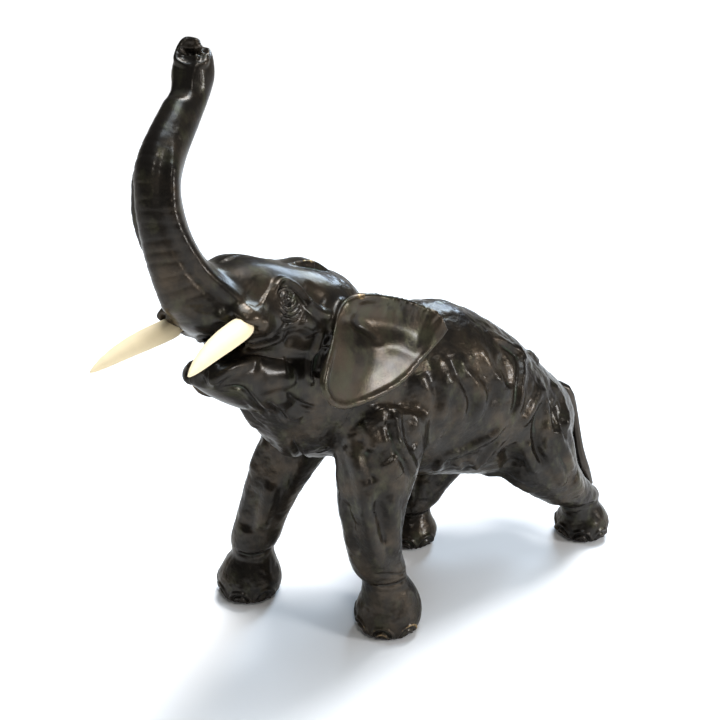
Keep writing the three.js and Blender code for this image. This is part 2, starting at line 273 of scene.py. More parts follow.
def smoothstep(low, high, x):
    """0 at low, 1 at high, smooth between; low may be the larger."""
    t = np.clip((x - low) / (high - low), 0, 1)
    return t * t * (3 - 2 * t)


# Shares of a crease's width and height that its pressed line and its lips take.
PRESSED_WIDTH = 0.38
LIP_WIDTH = 0.45
LIP_HEIGHT = 0.35
UNDERCUT_DEPTH = 0.35


def ridge(across, width):
    """A rounded bead, whichever side of the line."""
    return np.clip(1 - (across / width) ** 2, 0, 1) ** 2


def crease(across, width):
    """A pressed line with a soft lip on both sides."""
    pressed = np.exp(-(across / (PRESSED_WIDTH * width)) ** 2)
    lips = np.exp(-((np.abs(across) - width) / (LIP_WIDTH * width)) ** 2)
    return LIP_HEIGHT * lips - pressed


def fold(across, width):
    """Skin that swells up to the line from one side and drops away beyond it."""
    rise = smoothstep(-width, -0.1 * width, across) * (1 - smoothstep(0, 0.3 * width, across))
    undercut = ridge(across - 0.45 * width, 0.4 * width)
    return rise - UNDERCUT_DEPTH * undercut


PROFILES = {"ridge": ridge, "crease": crease, "fold": fold}
REACH = {"ridge": 1.0, "crease": 2.2, "fold": 1.1}
STEP = 0.8 * MM
# A stroke marks skin that faces its own way by more than this, and fades at its ends.
SAME_SIDE = 0.1
END_MARGIN = 0.02
END_RISE = 2.2


def resampled(points):
    """Points a step apart along a smooth line through the given ones."""
    if len(points) == 1:
        return [points[0]]
    ends = [points[0] * 2 - points[1], *points, points[-1] * 2 - points[-2]]
    line = []
    for a, b, c, d in zip(ends, ends[1:], ends[2:], ends[3:]):
        count = max(1, round((c - b).length / STEP))
        for i in range(count):
            t = i / count
            line.append(0.5 * (
                2 * b + (c - a) * t
                + (2 * a - 5 * b + 4 * c - d) * t * t
                + (3 * b - a - 3 * c + d) * t * t * t
            ))
    return [*line, points[-1]]


class Modelling:
    """Strokes gathered on one skin, all measured from the skin as it was at the start."""

    def __init__(self, clay):
        self.clay = clay
        self.surface = clay.surface()
        self.start = clay.points.copy()
        self.normals = clay.normals.copy()
        self.push = np.zeros(len(clay.points))
        self.shift = np.zeros((len(clay.points), 3))

    def stroke(self, axes, given, mirrored=False, hold=1.0, bend=False):
        """Adds one stroke; a bend moves both faces of a thin sheet together."""
        flip = Vector((-1, 1, 1)) if mirrored else Vector((1, 1, 1))
        path = [axes @ (Vector(p) * flip * MM) for p in given.points]
        line = []
        facing = []
        for point in resampled(path):
            spot, normal, _, _ = self.surface.find_nearest(point)
            line.append(spot)
            facing.append(normal)
        line = np.array(line)
        facing = np.array(facing)
        width = given.width * MM
        reach = width * REACH[given.kind]
        inside = (self.start > line.min(0) - reach) & (self.start < line.max(0) + reach)
        near = np.flatnonzero(inside.all(1))
        if not len(near):
            return
        gaps = self.start[near][:, None, :] - line[None, :, :]
        away = (gaps ** 2).sum(2)
        closest = away.argmin(1)
        far = np.sqrt(away.min(1))
        same_side = (self.normals[near] * facing[closest]).sum(1) > SAME_SIDE
        ok = (far < reach) & (same_side | bend)
        near, closest, far = near[ok], closest[ok], far[ok]
        across = far
        if given.kind == "fold" and len(line) > 1:
            run = np.gradient(line, axis=0)
            over = np.cross(run[closest], facing[closest])
            gap = self.start[near] - line[closest]
            across = far * np.sign((gap * over).sum(1)) * (-1 if mirrored else 1)
        lift = PROFILES[given.kind](across, width) * given.height * MM
        if len(line) > 1:
            along = closest / (len(line) - 1)
            along = np.clip(along, END_MARGIN, 1 - END_MARGIN)
            lift *= np.clip(np.sin(np.pi * along) * END_RISE, 0, 1)
        if not np.isscalar(hold):
            lift *= hold[near]
        if bend:
            self.shift[near] += lift[:, None] * facing[closest]
        else:
            self.push[near] += lift

    def strokes(self, axes, strokes, hold=1.0):
        """Adds strokes, and their mirror images where they are on both sides."""
        for given in strokes:
            self.stroke(axes, given, False, hold)
            if given.both:
                self.stroke(axes, given, True, hold)

    def finish(self):
        """Moves the skin by all the strokes at once."""
        self.clay.points = self.start + self.normals * self.push[:, None] + self.shift
        self.clay.settle()


def clouded(points, size, octaves=2):
    """Soft noise of about that size in metres, -1 to 1, for each point."""
    scaled = (points / size).tolist()
    return np.array([noise.fractal(p, 0.9, 2.0, octaves) for p in scaled])


def inside_axes(points, axes):
    """Points in millimetres in those axes."""
    m = np.array(axes.inverted())
    return (points @ m[:3, :3].T + m[:3, 3]) / MM


# The edge between the trunk's flat flank and its back.
TRUNK_CORNER = (
    (10, -90, 130), (12, -100, 115), (13, -104, 105), (13, -106, 95), (14, -104, 82),
    (16, -98, 67), (21, -91, 54), (25, -87, 47), (31, -86, 41), (33, -82, 33),
)
HEAD_STROKES = (
    # the trunk's edge, running down into the sheath's hood
    swell(10, 2.3, *TRUNK_CORNER, (27, -74, 27)),
    bead(5.5, 1, *TRUNK_CORNER, (29, -76, 27)),
    bead(13, -1.7, (9, -107, 122), (10, -114, 108), (10, -116, 95), (12, -114, 80), (14, -108, 64),
        (19, -101, 51), (24, -94, 42)),
    bead(11, 1.4, (33, -80, 40), (33, -74, 33), (32, -70, 27)),
    groove(3, 2.6, (12, -80, 23), (18, -77, 23), (24, -73, 24), (30, -67, 26)),
    # hooded brow and the socket
    swell(4.5, 2.4, (30, -66, 46), (29, -62, 50), (29, -57, 51.5), (30, -54, 50), (32, -51, 46),
        (34, -49, 40), (35, -49, 35)),
    bead(7.5, -2.2, (32, -61, 43), (33, -58, 40)),
    bead(5.5, -1.2, (32, -65, 36), (32, -63, 30)),
    bead(2.9, 2.8, (33, -59.2, 42)),
    bead(1.2, 0.9, (31, -63.2, 41.5), (31.5, -61.5, 44.8), (32.5, -58.5, 45.2), (34, -55.5, 42.5)),
    bead(1.2, 0.8, (31, -63, 41), (32.5, -61, 38.6), (34, -57.5, 38.6), (34, -55, 41)),
    groove(1, 0.8, (30, -63.5, 44.5), (31, -60.5, 47.3), (32, -56.5, 46.6), (33.5, -53.5, 43)),
    groove(1, 0.7, (29.5, -64.5, 46.5), (30, -60.5, 49), (31, -56, 48.5), (33, -52.8, 44.5)),
    groove(1.1, 0.9, (31, -65, 42), (32.5, -63, 37.5), (34, -59, 36.4), (34.5, -55, 38)),
    groove(1.1, 0.9, (31.5, -67, 39), (33, -64, 34.9), (34, -60, 33.7), (35, -55.5, 35)),
    groove(1.1, 0.8, (32, -68.5, 36), (33, -65.5, 32.2), (34, -61.5, 31), (35, -57, 32)),
    # temple, cheek and the vertical edge before the eye
    bead(5, 2, (34, -49, 40), (36, -47, 35), (37, -42, 30), (40, -36, 26)),
    bead(8, -1.8, (32, -45, 46), (35, -41, 40), (38, -36, 34)),
    bead(7, 2.2, (36, -57, 31), (37, -51, 25), (36, -47, 18)),
    bead(8, -2.2, (29, -67, 21), (33, -59, 20), (34, -51, 16), (37, -43, 20)),
    bead(9, 2.2, (16, -78, 14), (22, -70, 12), (27, -60, 8)),
    bead(8, 1.6, (37, -43, 14), (35, -38, 4), (32, -36, -8)),
    # loose skin in front of the ear
    bead(2.6, 2.6, (40, -44, 19), (34, -44, 14), (30, -46, 8), (28, -48, 2), (27, -49, -4),
        (27, -45, -10)),
    bead(6, -3.4, (35, -38, 10), (30, -40, 3), (28, -43, -6)),
    bead(1.6, 1.6, (33, -36, 9), (30, -39, 3), (28, -42, -4)),
    # lower lip, chin and throat
    bead(4.6, 2.4, (5, -102, 9), (11, -99, 13), (15, -92, 16), (16, -82, 16), (17, -72, 16)),
    groove(2.6, 1.7, (9, -98, 6), (14, -92, 5), (16, -87, 2), (13, -80, -6), (7, -69, -16),
        (1, -61, -25)),
    bead(4.5, -2.6, (3, -104, 11), both=False),
    groove(1.4, 1, (7, -101, 18), (7, -103, 14), (7, -101, 9)),
    bead(8, 2, (19, -79, 2), (24, -67, 1), (26, -56, 0)),
    groove(2.6, 1.5, (15, -72, -11), (10, -60, -20), (7, -52, -29)),
    groove(2.8, 1.6, (22, -63, -8), (18, -51, -18), (21, -42, -24)),
    bead(5, 2, (19, -68, -8), (13, -56, -21), (13, -46, -29)),
    # forehead: two domes with a dip between
    bead(15, 1.6, (8, -68, 66), (-6, -68, 67), both=False),
    bead(10, -1.2, (12, -46, 61), (0, -46, 62), (-12, -46, 61), both=False),
    bead(20, 4.6, (8, -20, 54), (20, -24, 48)),
    bead(12, -1.4, (24, -78, 54), (29, -73, 46)),
)

EAR_TOP = ((44, -29, 34), (50, -10, 29), (60, 10, 19), (71, 25, 4))
EAR_BENDS = (
    bead(10, 2.4, *EAR_TOP, both=False),
    bead(15, -3.4, (46, -30, 22), (51, -12, 17), (59, 4, 9), (66, 15, 0), both=False),
)
EAR_RIMS = (
    bead(2.8, 2, (44, -43, 20), (46, -48, 14), (46, -58, 3), (47, -62, -5), (48, -57, -15),
        (49, -42, -20), (57, -14, -19), (62, 6, -11), (70, 23, 0), both=False),
    bead(3.8, 2.6, *EAR_TOP, both=False),
    bead(4, -1.2, (45, -38, 24), (47, -27, 21), (50, -19, 14), (53, -15, 4), both=False),
)

TORSO_STROKES = (
    # ribs and the hollows between them
    bead(7, 1.2, (37, -30, 170), (41, -27, 160), (43, -24, 150), (45, -21, 140)),
    bead(7.5, 1.7, (34, -15, 178), (41, -12, 166), (45, -14, 157), (46, -17, 147), (47, -16, 136)),
    bead(5.5, 1.2, (42, -8, 165), (45, -6, 157), (48, -2, 147), (48, -4, 136)),
    bead(7, 1.7, (37, 0, 176), (43, 2, 165), (46, 8, 156), (48, 12, 147), (49, 8, 134)),
    bead(7.5, 1.5, (34, 18, 179), (43, 24, 162), (47, 31, 150), (49, 35, 139)),
    bead(6, -1, (41, -20, 164), (44, -19, 154), (46, -23, 141)),
    bead(6, -1, (43, -3, 166), (46, 2, 156), (48, 4, 145), (49, 2, 134)),
    bead(8, -1.3, (39, 11, 172), (45, 16, 161), (48, 22, 150), (50, 22, 138)),
    bead(13, -1.8, (46, -18, 128), (48, 5, 120), (49, 18, 122)),
    # haunch: the fold round its front and the bony points of the hip
    swell(8, 2.2, (28, 34, 175), (31, 49, 168), (34, 57, 161), (41, 54, 154), (46, 48, 146),
        (49, 44, 136), (50, 38, 124)),
    bead(10, 2.2, (26, 62, 168), (37, 63, 155)),
    bead(8, -1.8, (36, 36, 167), (43, 38, 156), (48, 37, 146)),
    bead(13, 1.8, (16, 90, 158), (24, 94, 147)),
    bead(7, 2.4, (50, 47, 118), (49, 55, 126), (46, 65, 133), (41, 71, 139)),
    bead(6, 2.2, (41, 73, 140), (45, 73, 129), (48, 72, 116), (50, 69, 104)),
    bead(7, 2.6, (32, 88, 134), (36, 97, 122), (43, 95, 113), (51, 85, 104)),
    bead(6.5, 2.4, (49, 72, 112), (53, 81, 100), (55, 88, 86), (55, 95, 70)),
    bead(6, 2, (50, 65, 103), (53, 71, 91), (55, 80, 77), (54, 90, 62)),
    bead(6, 1.8, (47, 57, 106), (48, 58, 93), (49, 65, 77)),
    bead(4.5, -2, (45, 63, 126), (50, 61, 112), (49, 63, 98), (50, 72, 84)),
    bead(4.5, -2, (44, 82, 131), (48, 80, 118), (52, 77, 106)),
    bead(4, -1.4, (38, 84, 122), (45, 84, 112), (53, 86, 96)),
    # flank hollow and the loose skin at the belly's edge
    bead(10, -4.2, (46, 40, 104), (42, 47, 92), (40, 54, 80)),
    bead(5, 2.4, (28, -3, 92), (35, -9, 101), (41, -9, 109), (43, 1, 110), (45, 9, 112), (47, 17, 115),
        (48, 26, 119), (49, 35, 126)),
    bead(5, 2.4, (33, 20, 86), (41, 24, 97), (45, 27, 106), (47, 33, 112)),
    bead(4, 1.6, (38, 2, 102), (32, 12, 90)),
    bead(4, 1.5, (43, 11, 106), (34, 22, 90)),
    bead(5, -1.6, (36, -2, 100), (40, 6, 103), (42, 18, 103)),
    swell(7, 2.2, (14, 46, 70), (27, 57, 68), (36, 64, 62), (40, 74, 54)),
)

SHOULDER_STROKES = (
    # on the left; the right one is the same, moved forward with its leg
    swell(8, 2.8, (44, -54, 158), (51, -57, 147), (54, -56, 137), (56, -50, 124), (56, -43, 112)),
    bead(8, -2.4, (49, -45, 153), (52, -47, 142), (54, -43, 130)),
    bead(6, 1, (52, -70, 138), (53, -64, 141), (56, -57, 136), (57, -58, 127)),
    bead(9, 1.8, (55, -64, 131), (56, -57, 118)),
    bead(8, 2.6, (36, -80, 150), (40, -80, 138), (45, -79, 127), (50, -78, 113), (52, -76, 98)),
    bead(8, 2.4, (41, -72, 153), (45, -71, 144), (48, -71, 134)),
    bead(9, 1.6, (43, -62, 158), (47, -61, 149)),
    bead(6, -2, (43, -76, 146), (48, -74, 132), (52, -73, 116)),
)
CHEST_STROKES = (
    bead(8, 1.8, (24, -118, 150), (16, -108, 134), (0, -98, 118), (-12, -88, 106), both=False),
    groove(3.2, 1.6, (26, -110, 146), (18, -100, 128), (4, -90, 112), both=False),
    groove(1.4, 0.8, (22, -91, 134), (25, -90, 136), (28, -88, 134), (28, -88, 130), (24, -90, 129),
        (22, -91, 132), both=False),
)

LEG_STROKES = (
    # left foreleg
    bead(7, 2.6, (50, -79, 108), (53, -74, 84), (54, -70, 68), (55, -65, 54), both=False),
    bead(8, 2.6, (57, -64, 110), (59, -60, 92), (58, -58, 76), (57, -54, 62), both=False),
    bead(6.5, -2.2, (54, -72, 108), (56, -68, 90), (57, -65, 74), both=False),
    bead(7, -2, (38, -82, 104), (42, -79, 84), (44, -76, 66), both=False),
    groove(3.4, 1.3, (46, -68, 41), (54, -62, 41), (57, -53, 41), (55, -42, 41), both=False),
    groove(2.6, 0.9, (50, -70, 54), (56, -63, 52), (57, -55, 49), (52, -41, 46), both=False),
    # right foreleg
    bead(7, 2.6, (-27, -94, 88), (-28, -99, 70), (-28, -104, 54), both=False),
    bead(8, -2.2, (-33, -104, 84), (-34, -109, 65), (-35, -114, 52), both=False),
    groove(3.2, 1.2, (-42, -118, 37), (-32, -113, 36), (-26, -103, 36), (-27, -93, 36), both=False),
    # hind legs
    bead(6, 2, (-18, 12, 64), (-17, 16, 50), (-18, 20, 38), both=False),
    groove(3, 1.2, (-34, 8, 28), (-24, 9, 27), (-16, 19, 27), (-17, 32, 27), both=False),
    groove(3, 1.2, (32, 114, 33), (40, 114, 33), (49, 121, 33), (54, 133, 33), both=False),
    bead(9, 2.4, (42, 96, 66), (46, 104, 56), (47, 110, 50), both=False),
)

# Middle and radius of each foot.
FEET = (
    ((39, -50), 20.4),
    ((-44, -105), 20.4),
    ((36, 133), 18.4),
    ((-31, 22), 18.4),
)
NAIL_TURNS = (-52, -5, 42, 90)
NAIL_POINTS = 7
NAIL_FOOT = 2.4
NAIL_STRETCH = 1.2
# Size, stroke width and stroke height of each arch of a nail.
NAIL_ARCHES = ((8.0, 1.7, 1.4), (6.3, 1.3, -1.1), (4.7, 1.5, 1.2), (3.0, 1.2, -0.8))


def nail_strokes():
    """Ringed toenails: each is a nest of arches standing on the edge of the sole."""
    for (x, y), radius in FEET:
        for turn in NAIL_TURNS:
            for size, width, height in NAIL_ARCHES:
                points = []
                for step in range(NAIL_POINTS):
                    angle = math.pi * step / (NAIL_POINTS - 1)
                    side = math.degrees(size * math.cos(angle) / radius)
                    around = math.radians(turn + side)
                    rise = NAIL_FOOT + size * NAIL_STRETCH * math.sin(angle)
                    points.append((
                        x + radius * math.sin(around),
                        y - radius * math.cos(around),
                        rise,
                    ))
                yield bead(width, height, *points, both=False)


# ---- trunk ----
TRUNK_LINE = (
    (-86, 40), (-93, 53), (-100, 70), (-103, 90), (-101, 108),
    (-92, 122), (-80, 135), (-69, 146), (-62, 156),
)
TRUNK_LOW = 38
TRUNK_HIGH = 156
TRUNK_REAR = -52
TRUNK_HALF_WIDTH = 24
LINE_STEPS = 12
RING_PITCH = 5.6
RING_DEPTH = 0.24
RING_WIDTH = 0.95
RING_LEVEL = 0.35
RING_ARCH = 2.0
RING_WANDER = 1.2


def ring_push(points, normals):
    """Cross folds of the trunk's flanks and underside, fading on its back."""
    local = inside_axes(points, HEAD_AXES)
    inside = (local[:, 2] > TRUNK_LOW) & (local[:, 2] < TRUNK_HIGH)
    inside &= (local[:, 1] < TRUNK_REAR) & (np.abs(local[:, 0]) < TRUNK_HALF_WIDTH)
    near = np.flatnonzero(inside)
    p = local[near]
    line = np.array(TRUNK_LINE, float)
    runs = [np.linspace(a, b, LINE_STEPS, endpoint=False) for a, b in zip(line, line[1:])]
    fine = np.concatenate(runs)
    length = np.concatenate([[0], np.cumsum(np.linalg.norm(np.diff(fine, axis=0), axis=1))])
    gaps = p[:, None, 1:] - fine[None]
    closest = (gaps ** 2).sum(2).argmin(1)
    run = np.gradient(fine, axis=0)
    run /= np.linalg.norm(run, axis=1)[:, None]
    gap = p[:, 1:] - fine[closest]
    along = length[closest] + (gap * run[closest]).sum(1)
    behind = gap[:, 0] * run[closest, 1] - gap[:, 1] * run[closest, 0]
    radial = np.sqrt(p[:, 0] ** 2 + behind ** 2) + 1e-6
    facing = behind / radial
    wander = clouded(points[near], 22 * MM, 1) * RING_WANDER
    arch = RING_ARCH * (np.abs(p[:, 0]) / 14) ** 2
    phase = (along + wander + arch) / RING_PITCH
    apart = np.abs(phase - np.round(phase)) * RING_PITCH
    wave = RING_LEVEL - np.exp(-(apart / RING_WIDTH) ** 2)
    turn = np.array(HEAD_AXES)[:3, :3]
    n = normals[near] @ turn
    fade = smoothstep(0.0, 0.5, np.abs(n[:, 0]) * 0.3 - n[:, 1])
    fade = fade * (1 - smoothstep(-0.2, 0.25, facing))
    ends = smoothstep(2, 16, along) * (1 - 0.75 * smoothstep(70, 105, along))
    out = np.zeros(len(points))
    uneven = 1 + 0.4 * clouded(points[near], 25 * MM, 1)
    out[near] = wave * fade * ends * RING_DEPTH * MM * uneven
    return out


# The trunk's mouth: a sloping three-cornered face turned forward, with a finger on top.
TIP_MIDDLE = Vector((5.0, -65.0, 165.5)) * MM
TIP_FACING = Vector((0.38, -0.80, 0.46)).normalized()
TIP_REACH = (17 * MM, 24 * MM)
TIP_PRESS = 0.9
TIP_STROKES = (
    bead(2.8, 2, (2, -5, 0), (9, -4, 0), (13, 0, 0), (10, 8, 0), (3, 13, 0), (-4, 8, 0), (-7, 0, 0),
        (-3, -4, 0), (2, -5, 0), both=False),
    bead(2, 1.2, (3, 9, 0), (3, 3, 0), (3, -3, 0), both=False),
    bead(5.5, -4.5, (-0.8, 5, 0), (-1.6, 1.2, 0), both=False),
    bead(5.5, -4.5, (6.8, 5, 0), (8, 1.2, 0), both=False),
)
TIP_NECK_STROKES = (
    bead(9, -1.3, (-11, -62, 152), (-8, -71, 152), (0, -76, 153), (8, -73, 152), (12, -63, 151),
        both=False),
)


def tip_axes():
    """Axes of the trunk's mouth: Z out of it, X to the elephant's left."""
    side = Vector((0, 0, 1)).cross(TIP_FACING).normalized()
    up = TIP_FACING.cross(side)
    turn = Matrix((side, up, TIP_FACING)).transposed().to_4x4()
    return HEAD_AXES @ Matrix.Translation(TIP_MIDDLE) @ turn


def press_tip(clay):
    """Presses what stands proud of the trunk's mouth down to its sloping face."""
    local = inside_axes(clay.points, tip_axes()) * MM
    proud = local[:, 2]
    near = smoothstep(TIP_REACH[1], TIP_REACH[0], np.linalg.norm(local, axis=1))
    step = -np.maximum(proud, 0) * TIP_PRESS * near
    outward = np.array(tip_axes())[:3, 2]
    clay.points += step[:, None] * outward
    clay.settle()


# The right ear is laid farther back than the mirrored left one, turned about its root.
RIGHT_EAR_ROOT = Vector((-35, -32, 0)) * MM
RIGHT_EAR_AXES = (
    HEAD_AXES
    @ Matrix.Translation(RIGHT_EAR_ROOT)
    @ Matrix.Rotation(math.radians(-20), 4, "Z")
    @ Matrix.Translation(-RIGHT_EAR_ROOT)
)
RIGHT_SHOULDER_AXES = BODY_AXES @ Matrix.Translation(Vector((0, -50, 0)) * MM)


# ---- ears, fields, hoods and feet ----
# Where an ear begins beside the head, its lowest and highest y and z, all in mm, and its hold.
EAR_START = (41, 45)
EAR_LOW = (-70, -26)
EAR_HIGH = (34, 42)
EAR_HOLD = 0.85


def thin_parts(clay):
    """How firmly each point holds its place while the facets are smoothed out: the ears hold."""
    keep = np.zeros(len(clay.points))
    for axes, side in ((HEAD_AXES, 1), (RIGHT_EAR_AXES, -1)):
        local = inside_axes(clay.points, axes)
        out = local[:, 0] * side
        ear = (out > EAR_START[0]) & (local[:, 1] > EAR_LOW[0]) & (local[:, 1] < EAR_HIGH[0])
        ear &= (local[:, 2] < EAR_HIGH[1]) & (local[:, 2] > EAR_LOW[1])
        keep[ear] = np.maximum(keep[ear], smoothstep(*EAR_START, out[ear]) * EAR_HOLD)
    return keep


# Millimetres of bulge at which a point counts as wholly hollow or wholly proud.
HOLLOW_AT = 0.20
WORN_AT = 0.30
SPREAD_ROUNDS = 4
BULGE_ROUNDS = 2


def surface_fields(clay):
    """How hollow and how proud each point is, each 0 to 1: for the patina, the rubbed edges and the
    shade painted into the hollows.
    """
    spread = clay.points.copy()
    for _ in range(SPREAD_ROUNDS):
        spread = clay.average(spread)
    bulge = ((clay.points - spread) * clay.normals).sum(1) / MM
    bulge = bulge[:, None]
    for _ in range(BULGE_ROUNDS):
        bulge = clay.average(bulge)
    bulge = bulge[:, 0]
    return {
        "hollow": np.clip(-bulge / HOLLOW_AT, 0, 1),
        "worn": np.clip(bulge / WORN_AT, 0, 1),
    }


# Size in mm and height in mm of each layer of the hammered surface.
HAMMERED = ((12, 0.40), (5, 0.26), (2.2, 0.12))
# Axes, middle and radius of each spot with finer facets.
FINE_SPOTS = (
    (HEAD_AXES, (33, -60, 38), 17),
    (HEAD_AXES, (-33, -60, 38), 17),
    (HEAD_AXES, (0, -64, 166), 19),
    (HEAD_AXES, (27, -82, 34), 13),
    (HEAD_AXES, (-27, -82, 34), 13),
)


def fine_spots():
    """Eyes, hoods, trunk tip and toes, where the modelling is finest."""
    yield from FINE_SPOTS
    for (x, y), radius in FEET:
        yield BODY_AXES, (x, y - radius * 0.5, 4), radius * 0.9


HEAD_QUIET = 0.85
EAR_QUIET = 1.2


def quietness(clay):
    """How little of the hammered finish each point takes: the head and ears stay smooth."""
    local = inside_axes(clay.points, HEAD_AXES)
    head = smoothstep(-10, -34, local[:, 1]) * smoothstep(-26, -6, local[:, 2])
    ear = thin_parts(clay)
    return np.clip(np.maximum(head * HEAD_QUIET, ear * EAR_QUIET), 0, 1)


# The sheaths' lips lie over the roots of the tusks.
HOOD_GROWTH = 4.5 * MM
# Distances from the tusk's middle line, in mm, between which a hood's pull fades out.
HOOD_RING = (7.0, 13.5)
# Distances from the tusk's root between which its direction is taken.
TUSK_SPAN = (16 * MM, 26 * MM)
TUSK_ROOT_POINTS = 12


def grow_hoods(clay):
    """Draws the upper lip of each sheath forward along its tusk."""
    for node in ("left_tusk", "right_tusk"):
        co = np.array([v.co[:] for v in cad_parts[node].data.vertices])
        order = np.argsort(-co[:, 1])
        root = co[order[:TUSK_ROOT_POINTS]].mean(0)
        size = np.linalg.norm(co - root, axis=1)
        along = co[(size > TUSK_SPAN[0]) & (size < TUSK_SPAN[1])].mean(0) - root
        along /= np.linalg.norm(along)
        gap = clay.points - root
        run = gap @ along
        side = gap - run[:, None] * along
        off = np.linalg.norm(side, axis=1) / MM
        above = side[:, 2] / (off * MM + 1e-9)
        weight = smoothstep(HOOD_RING[1], HOOD_RING[0], off) * smoothstep(4 * MM, 12 * MM, run)
        weight *= smoothstep(34 * MM, 26 * MM, run) * smoothstep(-0.1, 0.7, above)
        clay.points += (weight * HOOD_GROWTH)[:, None] * along
    clay.settle()


# Where each foot's ankle is, in mm above the ground, in the order of FEET.
ANKLES = (37, 32, 29, 25)
# Height as a share of the ankle's, spread and push in mm of a foot's ball and waist.
BALL = (0.42, 0.24, 2.2)
WAIST = (1.02, 0.20, 3.0)
EDGE_HEIGHT = 0.24
EDGE_PUSH = 1.6


def foot_push(points):
    """Each foot swells like a ball below a drawn-in ankle, with a rounded lower edge."""
    local = inside_axes(points, BODY_AXES)
    out = np.zeros(len(points))
    for ((x, y), radius), ankle in zip(FEET, ANKLES):
        near = np.hypot(local[:, 0] - x, local[:, 1] - y) < radius * 2
        near &= local[:, 2] < ankle * 1.7
        h = local[near, 2] / ankle
        ball, waist = (np.exp(-((h - at) / spread) ** 2) * push for at, spread, push in (BALL, WAIST))
        edge = smoothstep(EDGE_HEIGHT, 0.0, h) * EDGE_PUSH
        out[near] = (ball - waist - edge) * MM
    return out


# Rounds of smoothing: of the castings' facets, after pressing the tip, and of the spots.
FACET_ROUNDS = 75
PRESSED_ROUNDS = 6
SPOT_ROUNDS = 2
# Rounds after the strokes: on the ears and the trunk's tip only, and then over all.
STROKE_ROUNDS = 3
LAST_ROUNDS = 1
# The feet are let down wholly below the second height, and not at all above the first.
SOLE_FADE = (12 * MM, 4 * MM)


def stand_on_ground(clay):
    """Lets the feet's lowest part down so that the soles touch the ground."""
    rise = clay.points[:, 2].min()
    clay.points[:, 2] -= rise * smoothstep(*SOLE_FADE, clay.points[:, 2])
    clay.points[:, 2] = np.maximum(clay.points[:, 2], 0)
    clay.settle()


def sculpt(clay):
    """Smooths, models and chases the skin; gives back the fields for its finish."""
    clay.smooth_plain(FACET_ROUNDS, thin_parts(clay))
    press_tip(clay)
    clay.smooth_plain(PRESSED_ROUNDS)
    refined(clay.mesh, fine_spots())
    clay.refresh()
    clay.smooth_plain(SPOT_ROUNDS)
    work = Modelling(clay)
    ear = np.minimum(thin_parts(clay) * 1.3, 1)
    flesh = 1 - ear
    work.strokes(HEAD_AXES, HEAD_STROKES)
    for strokes, bend in ((EAR_BENDS, True), (EAR_RIMS, False)):
        for given in strokes:
            work.stroke(HEAD_AXES, given, False, ear, bend)
            work.stroke(RIGHT_EAR_AXES, given, True, ear, bend)
    work.strokes(BODY_AXES, TORSO_STROKES, flesh * 1.1)
    for given in SHOULDER_STROKES:
        work.stroke(BODY_AXES, given, False, flesh)
        work.stroke(RIGHT_SHOULDER_AXES, given, True, flesh)
    work.strokes(BODY_AXES, CHEST_STROKES)
    work.strokes(BODY_AXES, LEG_STROKES)
    work.strokes(BODY_AXES, nail_strokes())
    work.strokes(tip_axes(), TIP_STROKES)
    work.strokes(HEAD_AXES, TIP_NECK_STROKES)
    work.push += ring_push(work.start, work.normals)
    work.push += foot_push(work.start)
    loud = 1 - quietness(clay)
    for size, height in HAMMERED:
        work.push += clouded(work.start, size * MM, 2) * height * MM * loud
    work.finish()
    grow_hoods(clay)
    tip = smoothstep(24, 18, np.linalg.norm(inside_axes(clay.points, tip_axes()), axis=1))
    clay.smooth_plain(STROKE_ROUNDS, 1 - np.maximum(ear, tip))
    clay.smooth_plain(LAST_ROUNDS)
    stand_on_ground(clay)
    fields = surface_fields(clay)
    # The ears are painted lighter and browner: a painted sheen on the ear panels, made from the ear
    # mask.
    fields["painted_ear_sheen"] = smoothstep(0.3, 0.8, thin_parts(clay))
    fields["quiet"] = quietness(clay)
    return fields


# ---- splitting the skin into its castings ----
# Rounds in which each face takes the casting of most faces round it.
LABEL_ROUNDS = 3


def loop_corners(mesh):
    """Each face corner's point and face, as two arrays."""
    points = np.empty(len(mesh.loops), np.int64)
    mesh.loops.foreach_get("vertex_index", points)
    totals = np.empty(len(mesh.polygons), np.int64)
    mesh.polygons.foreach_get("loop_total", totals)
    return points, np.repeat(np.arange(len(totals)), totals)


def casting_of_faces(mesh):
    """Which casting each face belongs to: the one whose surface is nearest."""
    corners = []
    faces = []
    owner = []
    for index, name in enumerate(CASTINGS):
        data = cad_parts[name].data
        start = len(corners)
        corners += [tuple(v.co) for v in data.vertices]
        for polygon in data.polygons:
            faces.append([start + i for i in polygon.vertices])
            owner.append(index)
    nearest = BVHTree.FromPolygons(corners, faces)
    labels = np.array([owner[nearest.find_nearest(f.center)[2]] for f in mesh.polygons])
    point_of, face_of = loop_corners(mesh)
    for _ in range(LABEL_ROUNDS):
        votes = np.zeros((len(mesh.vertices), len(CASTINGS)))
        np.add.at(votes, (point_of, labels[face_of]), 1)
        tally = np.zeros((len(labels), len(CASTINGS)))
        for casting in range(len(CASTINGS)):
            tally[:, casting] = np.bincount(face_of, votes[point_of, casting], len(labels))
        labels = tally.argmax(1)
    return labels


def add_fields(mesh, fields):
    """Writes each field to the mesh, where its finish reads it by name."""
    for key, values in fields.items():
        layer = mesh.attributes.new(key, "FLOAT", "POINT")
        layer.data.foreach_set("value", values.astype(np.float32))


